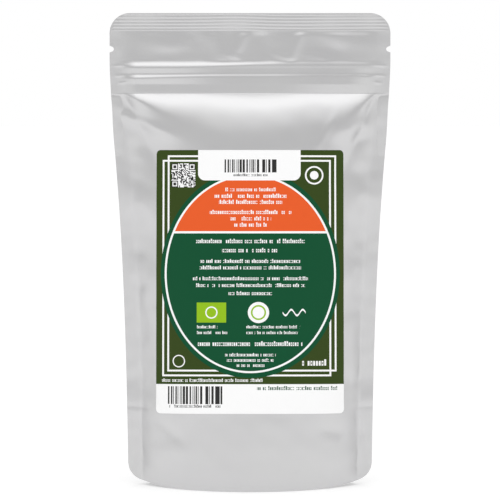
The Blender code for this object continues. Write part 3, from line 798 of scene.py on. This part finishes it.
class Board:
    """The node tree of a material or a world. add() makes any node."""

    def __init__(self, owner):
        owner.use_nodes = True
        self.owner = owner
        self.tree = owner.node_tree
        self.shader = self.tree.nodes.get("Principled BSDF")

    def add(self, kind, settings=None, inputs=None, output=0):
        """A node of that kind with its settings and its inputs' values or links, as one output's Value."""
        node = self.tree.nodes.new(kind)
        for key, value in (settings or {}).items():
            setattr(node, key, value)
        for key, value in (inputs or {}).items():
            self.join(node.inputs[key], value)
        return Value(self, node.outputs[output])

    def also(self, value, output):
        """Another output of the node that a value comes from."""
        return Value(self, value.socket.node.outputs[output])

    def join(self, socket, value):
        """Links a value to a socket, or sets a number or colour on it."""
        if isinstance(value, Value):
            self.tree.links.new(value.socket, socket)
        else:
            socket.default_value = value

    def ramp(self, value, stops):
        """A soft ramp on a value from -1 to 1. Each stop is a place on that range and the level there."""
        level = self.add("ShaderNodeValToRGB", None, {0: (value + 1) * 0.5})
        ramp = level.socket.node.color_ramp
        ramp.interpolation = "EASE"
        while len(ramp.elements) < len(stops):
            ramp.elements.new(0.5)
        for element, (place, tone) in zip(ramp.elements, stops):
            element.position = (place + 1) / 2
            element.color = (tone, tone, tone, 1)
        return level

    def coordinate(self, output="Object"):
        return self.add("ShaderNodeTexCoord", output=output)

    def noise(self, vector, scale, detail=2.0):
        """Noise from 0 to 1, with that many cells in a metre."""
        inputs = {"Vector": vector, "Scale": scale, "Detail": detail}
        return self.add("ShaderNodeTexNoise", None, inputs, "Fac")

    def bump(self, strength, distance, height):
        """A normal pushed about by a height."""
        inputs = {"Strength": strength, "Distance": distance, "Height": height}
        return self.add("ShaderNodeBump", None, inputs)

    def blend(self, factor, first, second, kind="MIX"):
        """Two colours mixed. A factor of 1 gives the second."""
        settings = {"data_type": "RGBA", "blend_type": kind}
        return self.add("ShaderNodeMix", settings, {0: factor, 6: first, 7: second}, 2)

    def finish(self, **inputs):
        """Joins the shader's inputs, and gives the material."""
        for name, value in inputs.items():
            self.join(self.shader.inputs[name.replace("_", " ")], value)
        return self.owner


def rgba(value):
    return (*value, 1.0)


def foil_material():
    """Satin silver laminate: faint cloudings in colour and gloss, and a fine orange peel in the normal."""
    board = Board(bpy.data.materials.new("foil_laminate"))
    place = board.coordinate()
    cloud = board.noise(place, scale=38.0, detail=3.0)
    drawn = board.add("ShaderNodeMapping", None, {"Vector": place, "Scale": (1.0, 1.0, 0.12)})
    streak = board.noise(drawn, scale=900.0)
    grain = board.noise(place, scale=2600.0)
    tone = board.blend(cloud, rgba(colours().foil), rgba(colours().foil_warm))
    roughness = 0.27 + cloud * 0.05 + streak * 0.03
    peel = board.bump(strength=0.05, distance=0.2 * MM, height=grain + streak * 0.5)
    return board.finish(Base_Color=tone, Metallic=1.0, Roughness=roughness, Normal=peel)


def plastic_material():
    """Milky zip plastic, drawn along X: fine lines in gloss and normal."""
    board = Board(bpy.data.materials.new("zip_plastic"))
    drawn = board.add("ShaderNodeMapping", None, {"Vector": board.coordinate(), "Scale": (0.02, 1.0, 1.0)})
    lines = board.noise(drawn, scale=1800.0, detail=3.0)
    tone = board.blend(lines, rgba(colours().zip_plastic), rgba(colours().zip_pale))
    marks = board.bump(strength=0.2, distance=0.1 * MM, height=lines)
    return board.finish(Base_Color=tone, Roughness=0.3 + lines * 0.12, Normal=marks)


FLAKES = 420.0
FLAKE_PALE, FLAKE_PALE_ADDED = 2.4, 0.03


def chive_material():
    """Dried cut chives: pale and dark green flakes, matte, with a rough normal."""
    board = Board(bpy.data.materials.new("dried_chives"))
    flakes = {"Vector": board.coordinate(), "Scale": FLAKES}
    tint = board.add("ShaderNodeTexVoronoi", None, flakes, "Color")
    pick = board.add("ShaderNodeSeparateColor", None, {0: tint})
    away = board.add("ShaderNodeTexVoronoi", None, flakes, "Distance")
    dark = colours().chives
    pale = [min(1.0, channel * FLAKE_PALE + FLAKE_PALE_ADDED) for channel in dark]
    rough = board.bump(strength=0.8, distance=1.2 * MM, height=away * -1.0)
    return board.finish(
        Base_Color=board.blend(pick, rgba(dark), rgba(pale)), Roughness=0.75 + pick * 0.15, Normal=rough)


# The print, in millimetres from the label's top left corner on its flat sheet of 105 by 148.
PRINT_WIDTH, PRINT_HEIGHT = 105.0, 148.0
OLIVE_END = 131.4
FRAME_LINE = 1.0
FRAMES = [(3.5, 5.6, 97.8, 127.0), (6.4, 3.0, 100.8, 124.3)]
OVAL_MIDDLE = (52.7, 69.5)
OVAL, OVAL_RING, OVAL_INSIDE = (50.1, 58.4), (47.9, 55.7), (46.8, 54.6)
DIVIDER = (45.8, 47.0)
# The white tab at the top: its left, right and bottom edges, and the radius of its corners.
TAB = (23.5, 80.8, 17.2, 3.9)
# The bar patterns: middle across, middle down, half width and half height. A module is their narrowest bar.
TAB_CODE = (52.8, 9.0, 14.5, 3.7)
LOW_CODE = (22.0, 137.6, 15.2, 5.0)
MODULE, END_MODULES, CODE_START = 0.42, 1.5, 90.0
# The square pattern: its left, its top and its side, with the cells of its three ringed corners.
GRID_CODE = (8.5, 7.6, 13.5)
GRID_CELLS, GRID_START, RING_CELLS, CORE_CELLS = 25, 31.0, 3.5, 1.5
# Rows of stand-in text: middle across, middle down, half width, half height.
PALE_ROWS = [
    (52.8, 22.3, 14.0, 1.15), (52.8, 25.9, 20.0, 1.3), (52.8, 29.3, 17.6, 1.3), (52.8, 35.0, 22.7, 1.3),
    (52.8, 38.6, 11.4, 1.3), (52.8, 42.1, 9.1, 1.3), (52.7, 51.3, 30.2, 1.35), (52.7, 56.4, 15.8, 1.4),
    (52.7, 62.5, 27.8, 1.2), (52.7, 66.1, 28.2, 1.2), (52.7, 72.2, 32.0, 1.15), (52.7, 76.0, 30.2, 1.15),
    (52.7, 80.5, 12.1, 1.2), (52.5, 108.7, 29.0, 1.5), (52.7, 114.9, 14.0, 1.05), (52.7, 117.9, 13.0, 1.05),
    (52.7, 120.8, 7.8, 1.05), (31.4, 129.2, 28.0, 1.05), (88.3, 119.3, 6.9, 2.0),
]
PALE_ROWS_LEFT = [(28.7, 99.3, 5.8, 0.95), (31.6, 102.5, 8.7, 0.95)]
PALE_ROWS_RIGHT = [(65.3, 99.3, 14.9, 0.95), (64.7, 102.5, 14.2, 0.95)]
GREEN_ROWS = [(78.7, 133.6, 22.4, 1.25)]
DARK_ROWS = [(52.8, 14.1, 9.5, 0.85), (21.9, 143.7, 14.6, 0.95)]
# A stroke's cell as a share of its row's half height, and the half widths of a stroke and its hollow.
STROKE_CELL, LEAST_ROW, STROKE_HALF, HOLLOW_HALF = 0.78, 0.2, 0.34, 0.16
# Heights in a row run from -1 at its top to 1: a stroke's ends, its two cross bars and its hollow.
STROKE_TOP, STROKE_BOTTOM, TALL_RISE = -0.35, 0.85, 0.55
CROSS_LOW, CROSS_HIGH, CROSS_HALF = 0.72, -0.3, 0.14
HOLLOW_MIDDLE, HOLLOW_REACH = 0.2, 0.28
# Shares of the cells: gaps, cells with no hollow, cells that aren't tall and cells that have their stroke.
GAP_SHARE, FILLED_SHARE, LOW_SHARE, STROKE_SHARE = 0.13, 0.5, 0.72, 0.9
TALL_START = 57.0
# The plain marks: middle across, middle down and half width, and then the half height of those that aren't
# round. The rings' lines and inner radii follow.
LIME_BOX = (31.1, 91.3, 8.2, 5.6)
DISC = (57.2, 91.3, 5.9)
WAVE = (77.0, 91.3, 6.4, 1.6)
WAVE_LENGTH, WAVE_LINE = 6.4, 0.55
BADGE = (88.4, 14.3, 5.2)
SMALL_RING = (12.9, 118.5, 3.5)
LIME_RING, DISC_RING, BADGE_DISC = (*LIME_BOX[:2], 3.4), (*DISC[:2], 4.2), (*BADGE[:2], 2.4)
LIME_RING_LINE, DISC_RING_LINE, BADGE_LINE, SMALL_RING_LINE = 0.7, 0.9, 0.9, 0.6


def oval_mask(u, v, middle, radii):
    """1 inside an ellipse."""
    across = (u - middle[0]) / radii[0]
    down = (v - middle[1]) / radii[1]
    return across * across + down * down < 1.0


def disc_mask(u, v, disc):
    """1 inside a circle given by its middle and radius."""
    return oval_mask(u, v, disc[:2], (disc[2], disc[2]))


def ring_mask(u, v, disc, line):
    """1 on a round line of that width, just inside the circle."""
    return disc_mask(u, v, disc) * (1 - disc_mask(u, v, (*disc[:2], disc[2] - line)))


def box_mask(u, v, box):
    """1 inside a box given by its middle and half sizes."""
    return u.within(box[0], box[2]) * v.within(box[1], box[3])


def frame_mask(u, v, corners):
    """1 on the lines of a rectangular frame: inside its outer box and outside its inner one."""
    left, top, right, bottom = corners
    middle = ((left + right) / 2, (top + bottom) / 2)
    half = ((right - left) / 2, (bottom - top) / 2)
    outer = box_mask(u, v, (*middle, *half))
    inner = box_mask(u, v, (*middle, half[0] - FRAME_LINE, half[1] - FRAME_LINE))
    return outer * (1 - inner)


def wave_mask(u, v):
    """1 on a short waving line."""
    middle_u, middle_v, half, rise = WAVE
    swing = ((u - middle_u) * (2 * math.pi / WAVE_LENGTH)).math("SINE") * rise
    return u.within(middle_u, half) * (v - swing).within(middle_v, WAVE_LINE)


def tab_mask(u, v):
    """1 on the white tab at the top, whose two lower corners are round."""
    left, right, bottom, radius = TAB
    over = (abs(u - (left + right) / 2) - ((right - left) / 2 - radius)).math("MAXIMUM", 0.0)
    below = (v - (bottom - radius)).math("MAXIMUM", 0.0)
    return over * over + below * below < radius * radius


def random_cell(board, first, second=0.0):
    """A random number from 0 to 1 for each pair of whole numbers."""
    vector = board.add("ShaderNodeCombineXYZ", None, {"X": first, "Y": second})
    return board.add("ShaderNodeTexWhiteNoise", {"noise_dimensions": "2D"}, {"Vector": vector}, "Value")


def text_mask(board, u, v, rows):
    """Stand-in text: rows of upright strokes of random height with gaps between words, which spell nothing.

    Sums over the rows give each point its row's number, half height and place in it. Strokes are whole cells
    of about half the row's height, and a random number for each sets its top, or leaves it out as a gap.
    """
    terms = []
    for order, row in enumerate(rows, 1):
        here = box_mask(u, v, row)
        terms.append((here, here * float(order), here * row[3], here * ((v - row[1]) / row[3])))
    inside, number, half, level = (sum(column[1:], column[0]) for column in zip(*terms))
    place = u / (half.math("MAXIMUM", LEAST_ROW) * STROKE_CELL)
    cell = place.math("FLOOR")
    pick = random_cell(board, cell, number)
    tall = random_cell(board, cell + TALL_START, number)
    stroke = (place - cell).within(0.5, STROKE_HALF)
    top = (tall > LOW_SHARE) * -TALL_RISE + STROKE_TOP
    upright = (level > top) * (level < STROKE_BOTTOM)
    cross = level.within(CROSS_LOW, CROSS_HALF) + level.within(CROSS_HIGH, CROSS_HALF)
    shape = (upright * stroke * (tall < STROKE_SHARE)).math("MAXIMUM", cross.math("MINIMUM", 1.0) * stroke)
    hollow = (place - cell).within(0.5, HOLLOW_HALF) * level.within(HOLLOW_MIDDLE, HOLLOW_REACH)
    return inside * (pick > GAP_SHARE) * shape * (1 - hollow * (pick > FILLED_SHARE))


def code_mask(board, u, v, box):
    """A made-up bar pattern: dark ends, and a random number that makes a module dark or pale."""
    cell = ((u - (box[0] - box[2])) / MODULE).math("FLOOR")
    ends = 1 - u.within(box[0], box[2] - END_MODULES * MODULE)
    return box_mask(u, v, box) * (random_cell(board, cell + CODE_START) > 0.5).math("MAXIMUM", ends)


def grid_mask(board, u, v):
    """A made-up grid of dark and pale cells with a ringed square in three of its corners."""
    left, top, side = GRID_CODE
    cell = side / GRID_CELLS
    across = ((u - left) / cell).math("FLOOR")
    down = ((v - top) / cell).math("FLOOR")
    dark = random_cell(board, across, down + GRID_START) > 0.5
    reach = RING_CELLS * cell
    near, far = reach, side - reach
    for x, y in ((left + near, top + near), (left + far, top + near), (left + near, top + far)):
        away = abs(u - x).math("MAXIMUM", abs(v - y))
        ring = (away < reach) * (away > reach - cell)
        dark = dark * (1 - (away < reach + cell)) + ring + (away < CORE_CELLS * cell)
    return dark


def print_layers(board, u, v):
    """The print's layers over the olive field, from the lowest: each a mask and its colour."""
    paint = colours()
    white, ink = rgba(paint.paper), rgba(paint.ink)
    green, orange, lime = rgba(paint.green), rgba(paint.orange), rgba(paint.lime)
    inside = oval_mask(u, v, OVAL_MIDDLE, OVAL_INSIDE)
    pale = text_mask(board, u, v, PALE_ROWS) + text_mask(board, u, v, PALE_ROWS_LEFT)
    left, top, side = GRID_CODE
    grid_box = (left + side / 2, top + side / 2, side / 2, side / 2)
    codes = code_mask(board, u, v, TAB_CODE) + code_mask(board, u, v, LOW_CODE)
    return [
        (v > OLIVE_END, white),
        *[(frame_mask(u, v, corners), white) for corners in FRAMES],
        (oval_mask(u, v, OVAL_MIDDLE, OVAL), green),
        (oval_mask(u, v, OVAL_MIDDLE, OVAL_RING), white),
        (inside * (v < DIVIDER[0]), orange),
        (inside * (v > DIVIDER[1]), green),
        (pale + text_mask(board, u, v, PALE_ROWS_RIGHT), white),
        (box_mask(u, v, LIME_BOX), lime),
        (ring_mask(u, v, LIME_RING, LIME_RING_LINE), white),
        (disc_mask(u, v, DISC), white),
        (ring_mask(u, v, DISC_RING, DISC_RING_LINE), lime),
        (wave_mask(u, v), white),
        (ring_mask(u, v, BADGE, BADGE_LINE), white),
        (disc_mask(u, v, BADGE_DISC), white),
        (ring_mask(u, v, SMALL_RING, SMALL_RING_LINE), white),
        (box_mask(u, v, grid_box), board.blend(grid_mask(board, u, v), white, ink)),
        (tab_mask(u, v), white),
        (codes + text_mask(board, u, v, DARK_ROWS), ink),
        (text_mask(board, u, v, GREEN_ROWS), green),
    ]


def label_material():
    """Satin paper with the print as shapes worked out from the flat sheet's millimetres."""
    board = Board(bpy.data.materials.new("printed_label"))
    u = board.add("ShaderNodeSeparateXYZ", None, {0: board.add("ShaderNodeUVMap", {"uv_map": "print"})})
    picture = rgba(colours().olive)
    for mask, tint in print_layers(board, u, board.also(u, "Y")):
        picture = board.blend(mask, picture, tint)
    fibre = board.noise(board.coordinate(), scale=1500.0, detail=3.0)
    shade = board.blend(fibre * 0.08, picture, rgba(colours().paper_shade), "MULTIPLY")
    grain = board.bump(strength=0.06, distance=0.2 * MM, height=fibre)
    return board.finish(
        Base_Color=shade, Roughness=0.45 + fibre * 0.08, Specular_IOR_Level=0.12, Normal=grain)


# Stage


AIM = (0.0, 0.0, 0.1347)
CAMERA_DISTANCE, CAMERA_PITCH, CAMERA_LENS = 1.6, math.radians(3.5), 201.3
SOFTBOX_PLACE, SOFTBOX_SIZE, SOFTBOX_POWER = (0.0, -0.35, 1.9), (1.6, 0.9), 1.5
# The room's brightness by the sine of a direction's elevation, and how much of it is the ceiling's alone.
ROOM_STOPS = [
    (-1.0, 0.9), (-0.06, 0.83), (0.10, 0.735), (0.36, 0.70), (0.54, 0.75), (0.71, 1.02), (0.84, 1.25),
]
ROOM_CEILING = [(0.56, 0.0), (0.80, 1.0)]
# The walls' brightness by the cosine of a direction's turn from straight behind: -1 is in front of the pouch.
ROOM_TURN = [
    (-1.0, 1.0), (-0.80, 1.02), (-0.45, 1.03), (0.0, 0.98), (0.30, 0.62), (0.50, 0.48), (0.66, 1.0),
    (0.80, 1.0), (0.92, 0.48), (1.0, 0.42),
]
ROOM_STRENGTH = 1.065
FLOOR_REACH, FLOOR_DROP = 12.0, 0.2 * MM
# How much the floor glows, and the power by which its glow follows the walls for what it lights.
FLOOR_GLOW, FLOOR_FADE = 0.47, 1.5


def wall_light(board, across, along):
    """The walls' brightness towards a direction on the level, by the cosine of its turn from behind."""
    level = (across * across + along * along).math("MAXIMUM", 1e-4).math("SQRT")
    return board.ramp(along / level, ROOM_TURN)


def build_floor():
    """A wide pale floor with a glow that makes it look white, and that lights things less from behind."""
    board = Board(bpy.data.materials.new("floor"))
    grain = board.noise(board.coordinate(), scale=14.0, detail=3.0)
    tone = board.blend(grain * 0.1, rgba(colours().floor), rgba(colours().floor_shade))
    place = board.add("ShaderNodeSeparateXYZ", None, {0: board.coordinate()})
    seen = board.add("ShaderNodeLightPath", output="Is Camera Ray")
    around = wall_light(board, place, board.also(place, "Y")).math("POWER", FLOOR_FADE)
    glow = board.blend(seen + around * (1 - seen), rgba((0, 0, 0)), rgba((1, 1, 1)))
    floor_material = board.finish(
        Base_Color=tone, Roughness=0.6, Emission_Color=glow, Emission_Strength=FLOOR_GLOW)
    mesh = bpy.data.meshes.new("floor")
    reach = FLOOR_REACH
    corners = [(-reach, -reach, 0), (reach, -reach, 0), (reach, reach, 0), (-reach, reach, 0)]
    mesh.from_pydata(corners, [], [(0, 1, 2, 3)])
    mesh.materials.append(floor_material)
    floor = bpy.data.objects.new("floor", mesh)
    floor.location = (0, 0, -FLOOR_DROP)
    bpy.context.scene.collection.objects.link(floor)


def build_world():
    """A white room: plain white to the eye, and for what it lights, darker halfway up and bright overhead."""
    world = bpy.data.worlds.new("room")
    bpy.context.scene.world = world
    board = Board(world)
    direction = board.add("ShaderNodeSeparateXYZ", None, {0: board.coordinate("Generated")})
    sine = board.also(direction, "Z")
    around = wall_light(board, direction, board.also(direction, "Y"))
    light = board.ramp(sine, ROOM_STOPS) * (around + (1 - around) * board.ramp(sine, ROOM_CEILING))
    seen = board.add("ShaderNodeLightPath", output="Is Camera Ray")
    board.join(board.tree.nodes["Background"].inputs["Color"], seen + light * ROOM_STRENGTH * (1 - seen))


def add_softbox():
    """A soft rectangular light overhead that faces the pouch's middle."""
    light = bpy.data.lights.new("top_softbox", "AREA")
    light.shape = "RECTANGLE"
    light.size, light.size_y = SOFTBOX_SIZE
    light.energy = SOFTBOX_POWER
    lamp = bpy.data.objects.new("top_softbox", light)
    bpy.context.scene.collection.objects.link(lamp)
    lamp.location = SOFTBOX_PLACE
    aim = Vector(AIM) - lamp.location
    lamp.rotation_euler = aim.to_track_quat("-Z", "Y").to_euler()


def add_camera():
    """A long lens in front, looking down a little."""
    data = bpy.data.cameras.new("camera")
    data.lens = CAMERA_LENS
    camera = bpy.data.objects.new("camera", data)
    back = CAMERA_DISTANCE * math.cos(CAMERA_PITCH)
    camera.location = (AIM[0], AIM[1] - back, AIM[2] + CAMERA_DISTANCE * math.sin(CAMERA_PITCH))
    camera.rotation_euler = (math.pi / 2 - CAMERA_PITCH, 0, 0)
    bpy.context.scene.collection.objects.link(camera)
    bpy.context.scene.camera = camera
    bpy.context.scene.view_settings.view_transform = "Standard"


# Operators


class POUCH_OT_films(bpy.types.Operator):
    """Builds the two big films and the base film"""

    bl_idname = "pouch.films"
    bl_label = "Films"

    def execute(self, context):
        foil = foil_material()
        build_panel("label_panel", FRONT, foil)
        build_panel("plain_panel", BACK, foil)
        build_base(foil)
        return {"FINISHED"}


class POUCH_OT_zip(bpy.types.Operator):
    """Gives the two zip strips their plastic"""

    bl_idname = "pouch.zip"
    bl_label = "Zip"

    def execute(self, context):
        plastic = plastic_material()
        for name in ("zip_rib_strip", "zip_channel_strip"):
            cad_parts[name].data.materials.clear()
            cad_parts[name].data.materials.append(plastic)
        return {"FINISHED"}


class POUCH_OT_label(bpy.types.Operator):
    """Builds the printed label"""

    bl_idname = "pouch.label"
    bl_label = "Label"

    def execute(self, context):
        build_label(label_material())
        return {"FINISHED"}


class POUCH_OT_fill(bpy.types.Operator):
    """Builds the cut chives inside"""

    bl_idname = "pouch.fill"
    bl_label = "Fill"

    def execute(self, context):
        build_fill(chive_material())
        return {"FINISHED"}


class POUCH_OT_stage(bpy.types.Operator):
    """Builds the floor, the room, the light and the camera"""

    bl_idname = "pouch.stage"
    bl_label = "Stage"

    def execute(self, context):
        build_floor()
        build_world()
        add_softbox()
        add_camera()
        return {"FINISHED"}


class POUCH_PT_panel(bpy.types.Panel):
    """Lists the pouch's steps and settings"""

    bl_idname = "POUCH_PT_panel"
    bl_label = "Stand-up Zip Pouch"
    bl_space_type = "VIEW_3D"
    bl_region_type = "UI"
    bl_category = "Pouch"

    def draw(self, context):
        for step in STEPS:
            self.layout.operator(step.bl_idname)
        for group in (context.scene.pouch_sizes, context.scene.pouch_colours):
            for key in group.bl_rna.properties.keys():
                if key not in ("rna_type", "name"):
                    self.layout.prop(group, key)


STEPS = (POUCH_OT_films, POUCH_OT_zip, POUCH_OT_label, POUCH_OT_fill, POUCH_OT_stage)
CLASSES = (PouchSizes, PouchColours, *STEPS, POUCH_PT_panel)


def register():
    for each in CLASSES:
        bpy.utils.register_class(each)
    bpy.types.Scene.pouch_sizes = bpy.props.PointerProperty(type=PouchSizes)
    bpy.types.Scene.pouch_colours = bpy.props.PointerProperty(type=PouchColours)


def unregister():
    del bpy.types.Scene.pouch_colours
    del bpy.types.Scene.pouch_sizes
    for each in reversed(CLASSES):
        bpy.utils.unregister_class(each)


def main():
    register()
    bpy.ops.pouch.films()
    bpy.ops.pouch.zip()
    bpy.ops.pouch.label()
    bpy.ops.pouch.fill()
    bpy.ops.pouch.stage()


if __name__ == "__main__":
    main()
